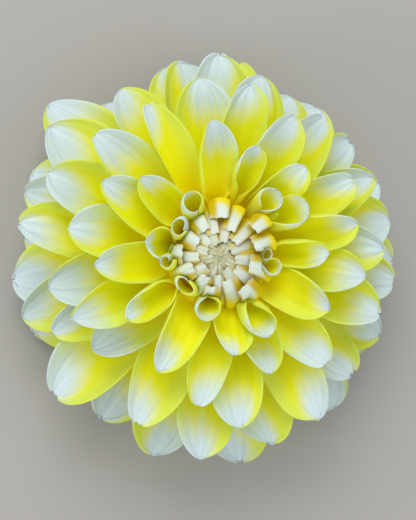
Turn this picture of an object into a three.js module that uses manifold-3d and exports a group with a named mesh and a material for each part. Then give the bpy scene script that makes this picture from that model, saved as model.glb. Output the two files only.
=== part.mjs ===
// Dahlia bloom, cut just below the head and lying face up. Millimetres, +Z up: the flower's axis
// runs along Z, and the surface that it lies on is z = 0.
//
// The florets follow the spiral of the living flower: each one stands a golden angle further round
// than the one before it. Rank 1 is the youngest floret that has opened, higher ranks are older and
// lie further out and lower down, and the unopened florets carry the same spiral on inwards.
import * as THREE from 'three';
import { mergeVertices } from 'three/addons/utils/BufferGeometryUtils.js';
import Module from 'manifold-3d';

const wasm = await Module();
wasm.setup();

// ---------------------------------------------------------------- driving dimensions
const GOLDEN_ANGLE = 137.508;      // degrees from one floret to the next
const FIRST_AZIMUTH = 228.5;       // where rank 1 stands, degrees from +X
const OPEN_FLORETS = 94;
const CLOSED_FLORETS = 48;
const CLEARANCE = 0.3;             // between pieces that lie on each other
const AXIS = { x: 1.7, y: 0.35 };   // the flower's axis, so that the box of the bloom is centred
const LOPSIDED = { x: -0.045, y: -0.02 };  // share of their length that florets towards +X, +Y gain

const OPEN_THICKNESS = 0.8;
const CLOSED_THICKNESS = 0.9;
const MOST_ROLL = 2.75;            // half angle of the tightest tube, so that its edges stay apart
const ROOT = { inner: 7.0, outer: 11.2, top: 24.9, bottom: 19.4 };  // where ranks 1 and 94 spring

// How an open floret changes with age. Length and half width in mm; rise in degrees above the
// horizontal at the root and at the tip; roll is the half angle, in radians, that the blade wraps
// at its full width, for the curve that it has at the root, half way out and at the tip; widest is
// the share of the length where it is widest, and blunt shapes its end (0.3 blunt, 0.6 round).
const STAGES = [
  { rank: 1, length: 28, half: 7.6, rise: [54, 82], roll: [9, 2.8, 2.5], widest: 0.8, blunt: 0.42 },
  { rank: 5, length: 33, half: 8.6, rise: [58, 66], roll: [9, 2.7, 2.3], widest: 0.78, blunt: 0.42 },
  { rank: 9, length: 32, half: 9.2, rise: [64, 50], roll: [9, 2.3, 2], widest: 0.74, blunt: 0.45 },
  { rank: 12, length: 36, half: 10.6, rise: [70, 34], roll: [8.5, 1.75, 1.55], widest: 0.68, blunt: 0.5 },
  { rank: 16, length: 39, half: 10.8, rise: [72, 16], roll: [7, 1.65, 1.35], widest: 0.66, blunt: 0.52 },
  { rank: 22, length: 45, half: 11, rise: [70, 2], roll: [6, 1.3, 1.05], widest: 0.66, blunt: 0.56 },
  { rank: 34, length: 51, half: 11.2, rise: [56, -8], roll: [5, 0.9, 0.6], widest: 0.66, blunt: 0.58 },
  { rank: 49, length: 54.5, half: 11.2, rise: [38, -14], roll: [4, 0.6, 0.2], widest: 0.66, blunt: 0.58 },
  { rank: 64, length: 56, half: 11.2, rise: [22, -22], roll: [3.5, 0.4, -0.1], widest: 0.66, blunt: 0.58 },
  { rank: 74, length: 57, half: 11.2, rise: [8, -30], roll: [3, 0.3, -0.2], widest: 0.66, blunt: 0.58 },
  { rank: 94, length: 50, half: 10.5, rise: [-12, -40], roll: [2.5, 0.3, -0.2], widest: 0.66, blunt: 0.58 },
];

// How far, at most, a floret in view stands off the rule: degrees, and share of its length.
const STRAY = { turn: 5, reach: 0.05 };
const LAST_IN_VIEW = 74;           // older florets are hidden under the rest and bear its weight

// The unopened florets: short straps that stand on the dome and fold in over its top.
const CLOSED = {
  radius: 15.6, length: 13, shortest: 6, half: 3.3, narrowest: 1.5,
  rise: [76, 170], top: 53.4, roll: 0.9,
};
const DOME = [[0, 26], [5.2, 26], [5.6, 34], [9, 41.8], [13.2, 45.2], [14, 48], [11, 50.6], [6, 51.8], [0, 52.1]];
const DOME_SIDES = 16;
const DOME_ROOM = [[0, 25.5], [5.8, 25.5], [6.2, 34], [9.6, 41.6], [14.2, 44], [16.9, 46], [17.2, 51],
  [13, 55.5], [0, 56.5]];          // the space that the ray florets leave to the dome

// The receptacle and the packed claws of the florets round it, which grow out of it as one core.
const RECEPTACLE = [[0, 18], [12, 18], [17, 16.6], [22, 17.5], [23.5, 22], [23, 31], [21.5, 39],
  [19, 44], [16.5, 45.8], [0, 45.8]];
const RECEPTACLE_SIDES = 20;

// The two rings of bracts behind the petals, each on its own disc, and the stalk's stub.
const INNER_BRACTS = {
  count: 8, disc: { radius: 9.5, bottom: 16, top: 17.7 }, thickness: 0.7,
  length: 17, half: 5, rise: [-14, -44], roll: 0.5, first: 12, root: 7.5,
};
const OUTER_BRACTS = {
  count: 6, disc: { radius: 7.8, bottom: 14, top: 15.7 }, thickness: 1.1,
  length: 14, half: 3.4, rise: [-24, -78], roll: 0.45, first: 30, root: 6.4,
};
const STEM = [[0, 0.8], [3.4, 0.8], [3.6, 1.2], [3.5, 8.5], [4.2, 12], [6, 13.7], [0, 13.7]];
const STEM_SIDES = 20;

// ---------------------------------------------------------------- small helpers
const radians = THREE.MathUtils.degToRad;
const lerp = THREE.MathUtils.lerp;

/** A repeatable scatter between -1 and 1 for a floret; channel picks one of several. */
function scatter(rank, channel) {
  const spun = Math.sin(rank * 12.9898 + channel * 78.233) * 43758.5453;
  return 2 * (spun - Math.floor(spun)) - 1;
}

/** The stage of a floret of some rank, blended between its two neighbours in STAGES. */
function stageAt(rank) {
  const next = Math.max(1, STAGES.findIndex((stage) => stage.rank >= rank));
  const [a, b] = [STAGES[next - 1], STAGES[next]];
  const t = (rank - a.rank) / (b.rank - a.rank);
  return {
    length: lerp(a.length, b.length, t),
    half: lerp(a.half, b.half, t),
    rise: a.rise.map((value, i) => lerp(value, b.rise[i], t)),
    roll: a.roll.map((value, i) => lerp(value, b.roll[i], t)),
    widest: lerp(a.widest, b.widest, t),
    blunt: lerp(a.blunt, b.blunt, t),
  };
}

/** Width of a blade at u, as a share of its greatest: a narrow claw, a belly and a closing tip. */
function outline(u, { claw, widest, blunt, closing = 2.3, tip = 0.25 }) {
  const grow = THREE.MathUtils.smoothstep(u, 0.12, widest);
  const end = THREE.MathUtils.clamp((u - widest) / (1 - widest), 0, 1);
  return Math.max(tip, lerp(claw, 1, grow) * Math.pow(Math.max(0, 1 - Math.pow(end, closing)), blunt));
}

/** A point on a midrib that bends evenly from one rise to another: distance out, height, slope. */
function midrib(u, { out, height, length, rise }) {
  const [from, to] = rise.map(radians);
  const turn = to - from;
  const slope = from + turn * u;
  return {
    out: out + length * (Math.sin(slope) - Math.sin(from)) / turn,
    height: height - length * (Math.cos(slope) - Math.cos(from)) / turn,
    slope,
  };
}

/**
 * One leaf-like blade as a closed mesh: a grid over its length and width, thickened both ways. Both
 * faces are split into triangles alike, so the thin sheet never crosses itself.
 */
function blade({ rib, azimuth, widthAt, rollAt, twist = 0, bend = 0, thickness, along, across }) {
  const faces = [[], []];
  for (const u of along) {
    const { out, height, slope } = midrib(u, rib);
    const half = widthAt(u);
    const roll = THREE.MathUtils.clamp(rollAt(u), -MOST_ROLL, MOST_ROLL) || 1e-3;
    for (let j = 0; j <= across; j += 1) {
      const angle = roll * (2 * j / across - 1);
      const centre = [half / roll * Math.sin(angle), half / roll * (1 - Math.cos(angle))];
      const normal = [-Math.sin(angle), Math.cos(angle)];
      for (const side of [0, 1]) {
        const offset = (side - 0.5) * thickness;
        const flat = new THREE.Vector2(centre[0] + offset * normal[0], centre[1] + offset * normal[1])
          .rotateAround(new THREE.Vector2(), twist * u);
        const reach = out - flat.y * Math.sin(slope);
        const sideways = flat.x + bend * rib.length * u * u;
        faces[side].push([
          AXIS.x + reach * Math.cos(azimuth) - sideways * Math.sin(azimuth),
          AXIS.y + reach * Math.sin(azimuth) + sideways * Math.cos(azimuth),
          height + flat.y * Math.cos(slope),
        ]);
      }
    }
  }
  const under = (i, j) => i * (across + 1) + j;
  const upper = (i, j) => faces[0].length + under(i, j);
  const last = along.length - 1;
  const index = [];
  for (let i = 0; i < last; i += 1) {
    for (let j = 0; j < across; j += 1) {
      index.push(upper(i, j), upper(i + 1, j), upper(i + 1, j + 1));
      index.push(upper(i, j), upper(i + 1, j + 1), upper(i, j + 1));
      index.push(under(i, j), under(i + 1, j + 1), under(i + 1, j));
      index.push(under(i, j), under(i, j + 1), under(i + 1, j + 1));
    }
    index.push(under(i, 0), under(i + 1, 0), upper(i + 1, 0), under(i, 0), upper(i + 1, 0), upper(i, 0));
    index.push(under(i, across), upper(i, across), upper(i + 1, across));
    index.push(under(i, across), upper(i + 1, across), under(i + 1, across));
  }
  for (let j = 0; j < across; j += 1) {
    index.push(under(0, j), upper(0, j), upper(0, j + 1), under(0, j), upper(0, j + 1), under(0, j + 1));
    index.push(under(last, j), upper(last, j + 1), upper(last, j));
    index.push(under(last, j), under(last, j + 1), upper(last, j + 1));
  }
  return new wasm.Manifold(new wasm.Mesh({
    numProp: 3,
    vertProperties: new Float32Array(faces.flat(2)),
    triVerts: new Uint32Array(index),
  }));
}

/** A closed solid from a three.js geometry whose seams are merged. */
function solid(geometry) {
  const bare = geometry.clone();
  bare.deleteAttribute('normal');
  bare.deleteAttribute('uv');
  const merged = mergeVertices(bare, 1e-4);
  return new wasm.Manifold(new wasm.Mesh({
    numProp: 3,
    vertProperties: new Float32Array(merged.attributes.position.array),
    triVerts: new Uint32Array(merged.index.array),
  }));
}

/** A solid of revolution about the flower's axis, from a profile of [radius, height] points. */
function turned(profile, sides) {
  const points = profile.map(([radius, height]) => new THREE.Vector2(radius, height));
  const lathe = new THREE.LatheGeometry(points, sides);
  return solid(lathe.rotateX(Math.PI / 2).translate(AXIS.x, AXIS.y, 0));
}

/** Fuses solids and keeps the one body that holds together: scraps and sealed hollows go. */
function fuse(solids) {
  const bodies = wasm.Manifold.union(solids).decompose();
  return bodies.reduce((best, body) => (body.volume() > best.volume() ? body : best));
}

/** A named mesh of a solid, with its own plain material. */
function piece(name, body, color, roughness) {
  const { vertProperties, triVerts } = body.getMesh();
  const geometry = new THREE.BufferGeometry();
  geometry.setAttribute('position', new THREE.BufferAttribute(vertProperties, 3));
  geometry.setIndex(new THREE.BufferAttribute(triVerts, 1));
  geometry.computeVertexNormals();
  const mesh = new THREE.Mesh(geometry, new THREE.MeshStandardMaterial({ color, roughness, metalness: 0 }));
  mesh.name = name;
  return mesh;
}

const azimuthOf = (rank) => FIRST_AZIMUTH + GOLDEN_ANGLE * (rank - 1);

// ---------------------------------------------------------------- open florets
/** One open floret of the spiral, as a thick blade rooted in the receptacle. */
function openFloret(rank) {
  const stage = stageAt(rank);
  const hidden = rank > LAST_IN_VIEW;
  const looseness = hidden ? 0 : 1;
  const azimuth = radians(azimuthOf(rank) + looseness * STRAY.turn * scatter(rank, 4));
  const age = (rank - 1) / (OPEN_FLORETS - 1);
  const side = 1 + LOPSIDED.x * Math.cos(azimuth) + LOPSIDED.y * Math.sin(azimuth);
  const shape = { claw: 0.28, widest: stage.widest, blunt: stage.blunt };
  const [rootRoll, midRoll, tipRoll] = stage.roll;
  const rolled = rank <= 26;
  return blade({
    rib: {
      out: lerp(ROOT.inner, ROOT.outer, age),
      height: lerp(ROOT.top, ROOT.bottom, Math.pow(age, 1.3)),
      length: stage.length * side * (1 + looseness * STRAY.reach * scatter(rank, 5)),
      rise: stage.rise,
    },
    azimuth,
    widthAt: (u) => stage.half * outline(u, shape),
    rollAt: (u) => outline(u, shape)
      * (u < 0.5 ? lerp(rootRoll, midRoll, u / 0.5) : lerp(midRoll, tipRoll, (u - 0.5) / 0.5)),
    twist: radians(8) * scatter(rank, 1),
    bend: 0.05 * scatter(rank, 2),
    thickness: OPEN_THICKNESS,
    along: hidden ? [0.15, 0.5, 0.8, 1] : rank < 10 ? [0.3, 0.6, 0.85, 1] : [0.2, 0.42, 0.66, 0.86, 1],
    across: rolled ? 4 : 2,
  });
}

function rayFlorets() {
  const florets = Array.from({ length: OPEN_FLORETS }, (_, i) => openFloret(i + 1));
  const spread = 400;
  const below = solid(new THREE.BoxGeometry(spread, spread, 50).translate(0, 0, -25));
  const whole = wasm.Manifold.union([turned(RECEPTACLE, RECEPTACLE_SIDES), ...florets]);
  return fuse([whole.subtract(turned(DOME_ROOM, DOME_SIDES)).subtract(below)]);
}

// ---------------------------------------------------------------- unopened florets
/** One unopened floret: a blunt strap that rises from the dome's side and folds in over its top. */
function closedFloret(order) {
  const age = order / CLOSED_FLORETS;
  const [from, to] = CLOSED.rise.map(radians);
  const length = lerp(CLOSED.length, CLOSED.shortest, age);
  const climb = length * (Math.cos(from) + 1) / (to - from);
  const shape = { claw: 0.8, widest: 0.6, blunt: 0.3, closing: 4, tip: 0.5 };
  return blade({
    rib: {
      out: CLOSED.radius * Math.sqrt(1 - 0.97 * age),
      height: CLOSED.top - climb,
      length,
      rise: CLOSED.rise,
    },
    azimuth: radians(azimuthOf(-order)),
    widthAt: (u) => lerp(CLOSED.half, CLOSED.narrowest, age) * outline(u, shape),
    rollAt: (u) => CLOSED.roll * outline(u, shape),
    twist: radians(6) * scatter(order, 3),
    thickness: CLOSED_THICKNESS,
    along: [0.3, 0.68, 1],
    across: 2,
  });
}

function closedFlorets() {
  const straps = Array.from({ length: CLOSED_FLORETS }, (_, i) => closedFloret(i));
  return fuse([turned(DOME, DOME_SIDES), ...straps]);
}

// ---------------------------------------------------------------- bracts and stalk
/** A ring of bracts standing out of their disc and bent back towards the stalk. */
function bracts({ count, disc, thickness, length, half, rise, roll, first, root }) {
  const plate = turned(
    [[0, disc.bottom], [disc.radius, disc.bottom], [disc.radius, disc.top], [0, disc.top]], RECEPTACLE_SIDES);
  const shape = { claw: 0.7, widest: 0.45, blunt: 0.8 };
  const ring = Array.from({ length: count }, (_, i) => blade({
    rib: { out: root, height: (disc.bottom + disc.top) / 2, length, rise },
    azimuth: radians(first + 360 * i / count),
    widthAt: (u) => half * outline(u, shape),
    rollAt: (u) => -roll * outline(u, shape),
    thickness,
    along: [0, 0.4, 0.75, 1],
    across: 2,
  }));
  return fuse([plate, ...ring]);
}

const bloom = new THREE.Group();
bloom.add(
  piece('ray_florets', rayFlorets(), 0xdfe03c, 0.55),
  piece('closed_florets', closedFlorets(), 0xd9d8b4, 0.6),
  piece('inner_bracts', bracts(INNER_BRACTS), 0xb9c27a, 0.6),
  piece('outer_bracts', bracts(OUTER_BRACTS), 0x5f8a3a, 0.6),
  piece('stem', turned(STEM, STEM_SIDES), 0x6f9446, 0.65),
);

export default bloom;
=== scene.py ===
"""A cut dahlia bloom lying face up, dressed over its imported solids.

The florets stand on the golden-angle spiral of the living flower. One Geometry Nodes tree grows every
leaf-like blade of the bloom: the open florets, the unopened ones on the dome and both rings of bracts.
"""

import logging
import math
from dataclasses import asdict, astuple, dataclass, field
from enum import Enum, IntEnum
from typing import Any, Callable, Sequence

import bpy
import numpy as np
from mathutils import Euler, Matrix, Vector
from mathutils.bvhtree import BVHTree


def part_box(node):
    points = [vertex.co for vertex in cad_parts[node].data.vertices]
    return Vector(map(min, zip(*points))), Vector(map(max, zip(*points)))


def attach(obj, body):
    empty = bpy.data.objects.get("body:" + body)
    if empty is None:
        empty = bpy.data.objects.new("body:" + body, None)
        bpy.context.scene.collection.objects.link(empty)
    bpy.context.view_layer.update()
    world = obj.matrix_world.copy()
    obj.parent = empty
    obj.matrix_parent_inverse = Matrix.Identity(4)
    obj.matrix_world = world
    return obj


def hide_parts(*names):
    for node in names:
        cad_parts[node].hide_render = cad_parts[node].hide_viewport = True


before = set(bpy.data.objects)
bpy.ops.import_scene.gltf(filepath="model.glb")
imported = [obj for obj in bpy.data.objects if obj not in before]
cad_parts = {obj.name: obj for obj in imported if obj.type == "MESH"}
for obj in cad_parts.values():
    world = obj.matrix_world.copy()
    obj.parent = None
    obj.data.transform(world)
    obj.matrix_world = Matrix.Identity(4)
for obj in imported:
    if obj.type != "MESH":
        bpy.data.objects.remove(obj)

LOG = logging.getLogger("dahlia")
BODY = "root"

GOLDEN_ANGLE = 137.508
FIRST_AZIMUTH = 228.5
OPEN_FLORETS = 94
CLOSED_FLORETS = 48

Colour = tuple[float, float, float, float]
BLACK: Colour = (0.0, 0.0, 0.0, 1.0)
GREY: Colour = (0.5, 0.5, 0.5, 1.0)


def linear(red: int, green: int, blue: int) -> Colour:
    """A display colour of 0 to 255 as the linear colour that shaders work in."""
    return (*(linear_channel(value / 255) for value in (red, green, blue)), 1.0)


def linear_channel(value: float) -> float:
    """One channel of a display colour, 0 to 1, by the sRGB curve."""
    return value / 12.92 if value <= 0.04045 else ((value + 0.055) / 1.055) ** 2.4


def lerp(a: float, b: float, t: float) -> float:
    """The value a share t of the way from a to b."""
    return a + (b - a) * t


def clamp(value: float, most: float) -> float:
    """The value, held between -most and most."""
    return max(-most, min(most, value))


class Trait(IntEnum):
    """What scatters from blade to blade, each trait on its own."""

    TWIST = 1
    BEND = 2
    STRAP_LEAN = 3
    GIRTH = 4
    SKEW = 5
    HOOD = 6
    WHITE_FROM = 8
    STRAP_TIP = 10
    STRAP_RISE = 11
    BRACT_TURN = 12
    BRACT_LENGTH = 13
    BRACT_TWIST = 14
    YELLOW_SHARE = 16
    YELLOW_SIDE = 17
    LEAN = 18
    ROLL = 19
    KEEL = 20
    SCROLL_SIDE = 21
    OVAL = 22
    STRAP_TURN = 23
    PLEAT = 24
    TIP = 27
    TOOTH = 28


def scatter(rank: int, trait: Trait) -> float:
    """A repeatable scatter between -1 and 1, the same each time for the same blade and trait."""
    spun = math.sin(rank * 12.9898 + trait * 78.233) * 43758.5453
    return 2 * (spun - math.floor(spun)) - 1


def varied(rank: int, trait: Trait, by: float) -> float:
    """A factor for one trait of a blade: 1, or up to this much more or less."""
    return 1 + by * scatter(rank, trait)


def risen(age: float, pace: float) -> float:
    """How far something has come, 0 to 1, that sets in this many times faster than age does."""
    return min(1.0, age * pace)


# ---------------------------------------------------------------- node trees
def node_operator(operation: str, reflected: bool = False) -> Callable[["Wire", Any], "Wire"]:
    """A Python operator that adds a Math node; in a reflected one the wire is the second operand."""
    def operator(wire: "Wire", other: Any) -> "Wire":
        """Adds the node."""
        return wire.graph.math(operation, *((other, wire) if reflected else (wire, other)))
    return operator


@dataclass(frozen=True)
class Wire:
    """An output socket that takes part in Python sums: each operator adds its Math node."""

    graph: "Graph"
    socket: bpy.types.NodeSocket

    __add__ = __radd__ = node_operator("ADD")
    __sub__ = node_operator("SUBTRACT")
    __rsub__ = node_operator("SUBTRACT", reflected=True)
    __mul__ = node_operator("MULTIPLY")
    __truediv__ = node_operator("DIVIDE")
    __rtruediv__ = node_operator("DIVIDE", reflected=True)
    __pow__ = node_operator("POWER")

    def math(self, operation: str, *others: Any, clamp: bool = False) -> "Wire":
        """This value through a Math node, with the other operands after it."""
        return self.graph.math(operation, self, *others, clamp=clamp)

    def __neg__(self) -> "Wire":
        """Opposite."""
        return self * -1.0

    def __abs__(self) -> "Wire":
        """Size without sign."""
        return self.math("ABSOLUTE")

    def sin(self) -> "Wire":
        """Sine of an angle in radians."""
        return self.math("SINE")

    def cos(self) -> "Wire":
        """Cosine of an angle in radians."""
        return self.math("COSINE")

    def clipped(self) -> "Wire":
        """This value held between 0 and 1."""
        return self.math("ADD", 0.0, clamp=True)

    def at_least(self, low: Any) -> "Wire":
        """This value or low, whichever is more."""
        return self.math("MAXIMUM", low)

    def at_most(self, high: Any) -> "Wire":
        """This value or high, whichever is less."""
        return self.math("MINIMUM", high)

    def ramp(self, low: Any, high: Any) -> "Wire":
        """A smooth step from 0 at low to 1 at high."""
        return self.graph.wire("ShaderNodeMapRange", {"interpolation_type": "SMOOTHSTEP"},
                               {"Value": self, "From Min": low, "From Max": high})


class Graph:
    """A node tree, shader or geometry, and the one way that nodes get into it."""

    def __init__(self, tree: bpy.types.NodeTree) -> None:
        """Takes the tree that the nodes go into."""
        self.tree = tree

    def node(self, kind: str, settings: dict[str, Any] | None = None,
             inputs: dict[str | int, Any] | None = None) -> bpy.types.Node:
        """Adds a node.

        Args:
            kind: The node's type.
            settings: Its properties, set before its sockets are.
            inputs: A value or a Wire for each socket, by name or by number.

        Returns:
            The new node.
        """
        node = self.tree.nodes.new(kind)
        for name, value in (settings or {}).items():
            setattr(node, name, value)
        self.feed(node, inputs or {})
        return node

    def feed(self, node: bpy.types.Node, inputs: dict[str | int, Any]) -> None:
        """Gives a node's sockets, by name or by number, a value or a Wire each."""
        for key, value in inputs.items():
            if isinstance(value, Wire):
                self.tree.links.new(value.socket, node.inputs[key])
            else:
                node.inputs[key].default_value = value

    def wire(self, kind: str, settings: dict[str, Any] | None = None,
             inputs: dict[str | int, Any] | None = None, output: str | int = 0) -> Wire:
        """Adds a node and gives one of its outputs."""
        return Wire(self, self.node(kind, settings, inputs).outputs[output])

    def math(self, operation: str, *operands: Any, clamp: bool = False) -> Wire:
        """Adds a Math node on values or wires."""
        return self.wire("ShaderNodeMath", {"operation": operation, "use_clamp": clamp},
                         dict(enumerate(operands)))

    def mix(self, share: Any, a: Any, b: Any) -> Wire:
        """The colour a share of the way from a to b."""
        return self.wire("ShaderNodeMix", {"data_type": "RGBA"}, {0: share, 6: a, 7: b}, output=2)

    def vector(self, x: Any, y: Any, z: Any) -> Wire:
        """A vector from three values or wires."""
        return self.wire("ShaderNodeCombineXYZ", None, {0: x, 1: y, 2: z})

    def noise(self, place: Wire, scale: float, detail: float = 2.0) -> Wire:
        """A noise value, 0 to 1 about 0.5, at a place."""
        return self.wire("ShaderNodeTexNoise", {"noise_dimensions": "3D"},
                         {"Vector": place, "Scale": scale, "Detail": detail})


@dataclass(frozen=True)
class Arc:
    """A step along a line that bends evenly: how far on and how far up it leads."""

    on: Wire
    up: Wire

    @staticmethod
    def step(start: Any, turn: Wire, length: Any) -> "Arc":
        """The step of an even bend.

        Args:
            start: The slope at the start, in radians.
            turn: How much the slope changes along it.
            length: The length along the bend.

        Returns:
            The step from one end to the other, which lies on the chord.
        """
        half = (abs(turn) * 0.5).at_least(1e-4)
        chord = half.sin() / half * length
        heading = turn * 0.5 + start
        return Arc(chord * heading.cos(), chord * heading.sin())


# ---------------------------------------------------------------- blades
@dataclass(frozen=True)
class Blade:
    """One leaf-like blade. Sizes in metres, angles in radians.

    Rises are slopes above the horizontal at the root and the tip. Rolls are the half angle that the
    blade wraps at its full width, for its curve at the root, half way out and at the tip.
    """

    azimuth: float
    out: float
    height: float
    length: float
    half: float
    rise_root: float
    rise_tip: float
    roll_root: float
    roll_mid: float
    roll_tip: float
    widest: float
    blunt: float
    tube: float = 0.0
    tip: float = 0.0
    lean: float = 0.0
    twist: float = 0.0
    bend: float = 0.0
    skew: float = 0.0
    hood: float = 0.0
    ripple: float = 0.0
    fold: float = 0.0
    keel: float = 0.0
    scroll: float = 0.0
    oval: float = 0.0
    pleat: float = 0.0
    tooth: float = 0.0
    age: float = 0.0
    white_from: float = 0.8
    yellow_side: float = 0.0

    def tip_place(self) -> Vector:
        """Where the rib ends, from the point where the flower's axis meets the surface."""
        half_turn = (self.rise_tip - self.rise_root) / 2
        chord = self.length * (math.sin(half_turn) / half_turn if half_turn else 1.0)
        heading = self.rise_root + half_turn
        lift = self.hood * self.length
        reach = self.out + chord * math.cos(heading) - lift * math.sin(self.rise_tip)
        rise = self.height + chord * math.sin(heading) + lift * math.cos(self.rise_tip)
        outwards = Vector((math.cos(self.azimuth), math.sin(self.azimuth), 0.0))
        across = Vector((-outwards.y, outwards.x, 0.0))
        return outwards * reach + across * (self.bend * self.length) + Vector((0.0, 0.0, rise))


@dataclass(frozen=True)
class BladeForm:
    """What all blades of one kind share: named inputs of the tree that grows them, and the wall."""

    rows: int = 40
    columns: int = 24
    claw: float = 0.28
    spread: float = 0.12
    closing: float = 2.3
    crease: float = 0.0
    lowest: float = 0.0004
    seed: int = 7
    wall: float = 0.00045


@dataclass(frozen=True)
class Wave:
    """A wave over a blade: radians along it, over half its width and from blade to blade."""

    along: float
    across: float
    chance: float

    def angle(self, along: Wire, across: Wire, chance: Wire) -> Wire:
        """Its angle at a point."""
        return along * self.along + chance * self.chance + across * self.across


@dataclass(frozen=True)
class BladeSpot:
    """A point of a flat blade, as fields of the tree.

    It lies from 0 to 1 along and from -1 to 1 across; skewed is its place across once the rib is
    moved aside, and margin rises from 0 on the rib to 1 at either margin.
    """

    along: Wire
    across: Wire
    skewed: Wire
    chance: Wire
    width: Wire
    margin: Wire


def turned(first: Wire, second: Wire, angle: Wire) -> tuple[Wire, Wire]:
    """Two parts of a place, turned by an angle in their plane."""
    return first * angle.cos() - second * angle.sin(), first * angle.sin() + second * angle.cos()


class BladeTree:
    """The Geometry Nodes tree that grows one blade at each point of a mesh of seeds."""

    NAME = "blade_spiral"
    INPUTS = {"Int": ("Rows", "Columns", "Seed"), "Vector": ("Axis",), "Material": ("Material",),
              "Float": ("Claw", "Spread", "Closing", "Crease", "Lowest")}
    # The power by which the rows stand closer together towards the tip.
    CROWDING = 1.7
    # Where the panel, the fold and the wing of a half section meet, and what each takes of the bend
    # on a blade with a full fold.
    MEETINGS = (0.0, 0.4, 0.54, 1.0)
    BEND_SHARES = (0.12, 0.5, 0.38)
    # The tightest half angle of a closed foot, and the least that has a middle to swell about.
    MOST_ROLL = 3.35
    LEAST_ROUND = 0.5
    # Spans along the blade over which something sets in.
    RAGGED_SPAN = (0.25, 0.6)
    RUFFLE_SPAN = (0.2, 0.6)
    PLEAT_SPAN = (0.3, 0.95)
    KEEL_SPAN = (0.62, 0.95)
    HOOD_SPAN = (0.62, 1.0)
    # How far the closed foot takes to open, and the shortest one that closes fully.
    TUBE_SOFTNESS = 0.12
    SHORTEST_TUBE = 0.05
    # How much of the keel the full width takes away.
    KEEL_FADE = 0.8
    # The ragged width of the margins for a ripple of one metre, and the waves of width and height.
    RAGGED = 60.0
    WAISTS = Wave(10.0, 2.5, 60.0)
    RUFFLES = Wave(11.0, 1.5, 40.0)
    # The teeth of the tip, and the power that keeps them to it.
    TEETH = Wave(0.0, 7.5, 6.0)
    TEETH_POWER = 6.0
    # Pleats: the radians across half a blade, how many more there may be, their shift from blade to
    # blade, and what is left of them where the blade closes.
    PLEATS = 13.0
    MORE_PLEATS = 8.0
    PLEAT_SHIFT = 90.0
    PLEAT_KEPT = 0.25
    # How narrow the groove along the rib is, as the falling off with the square of the distance.
    GROOVE = 90.0

    def __init__(self) -> None:
        """Makes the tree once; every piece of blades uses it."""
        self.tree = bpy.data.node_groups.new(self.NAME, "GeometryNodeTree")
        self.tree.interface.new_socket("Seeds", in_out="INPUT", socket_type="NodeSocketGeometry")
        for kind, names in self.INPUTS.items():
            for name in names:
                self.tree.interface.new_socket(name, in_out="INPUT", socket_type="NodeSocket" + kind)
        self.tree.interface.new_socket("Blades", in_out="OUTPUT", socket_type="NodeSocketGeometry")
        self.graph = Graph(self.tree)
        self.group = self.graph.node("NodeGroupInput")
        self._build()

    def _input(self, name: str) -> Wire:
        """A named input of the tree."""
        return Wire(self.graph, self.group.outputs[name])

    def _own(self, name: str) -> Wire:
        """A blade's own value, carried from its seed."""
        return self.graph.wire("GeometryNodeInputNamedAttribute", {"data_type": "FLOAT"}, {"Name": name})

    def _store(self, geometry: Wire, name: str, value: Wire, kind: str = "FLOAT",
               domain: str = "POINT") -> Wire:
        """Keeps a value on the geometry under a name."""
        return self.graph.wire("GeometryNodeStoreNamedAttribute", {"data_type": kind, "domain": domain},
                               {"Geometry": geometry, "Name": name, "Value": value})

    def _build(self) -> None:
        """Lays out the tree from the seeds to the dressed blades."""
        graph = self.graph
        grid = graph.wire("GeometryNodeMeshGrid", None, {
            "Size X": 1.0, "Size Y": 1.0,
            "Vertices X": self._input("Rows"), "Vertices Y": self._input("Columns")})
        place = graph.node("ShaderNodeSeparateXYZ", None, {0: graph.wire("GeometryNodeInputPosition")})
        from_tip = 0.5 - Wire(graph, place.outputs[0])
        along = 1.0 - from_tip.clipped() ** self.CROWDING
        across = Wire(graph, place.outputs[1])
        sheet = self._store(grid, "along", along)
        sheet = self._store(sheet, "across", across * 2.0)
        flat = graph.vector(self._own("along"), self._own("across") * 0.5 + 0.5, 0.0)
        sheet = self._store(sheet, "petal_uv", flat, kind="FLOAT2", domain="CORNER")
        chance = graph.wire("FunctionNodeRandomValue", {"data_type": "FLOAT"},
                            {"Seed": self._input("Seed")}, output=1)
        seeds = self._store(self._input("Seeds"), "chance", chance)
        copies = graph.wire("GeometryNodeInstanceOnPoints", None, {"Points": seeds, "Instance": sheet})
        real = graph.wire("GeometryNodeRealizeInstances", None, {"Geometry": copies})
        bent = graph.wire("GeometryNodeSetPosition", None, {"Geometry": real, "Position": self._place()})
        smooth = graph.wire("GeometryNodeSetShadeSmooth", None, {"Geometry": bent})
        dressed = graph.wire("GeometryNodeSetMaterial", None,
                             {"Geometry": smooth, "Material": self._input("Material")})
        graph.node("NodeGroupOutput", None, {0: dressed})

    def _width(self, along: Wire) -> Wire:
        """Width as a share of the greatest: a narrow claw, a belly and a closing tip."""
        widest = self._own("widest")
        claw = self._input("Claw")
        tip = self._own("tip")
        end = ((along - widest) / (1.0 - widest)).clipped()
        grow = claw + (1.0 - claw) * along.ramp(self._input("Spread"), widest)
        closed = (1.0 - end ** self._input("Closing")).at_least(0.0) ** self._own("blunt")
        return grow * (tip + (1.0 - tip) * closed)

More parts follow.
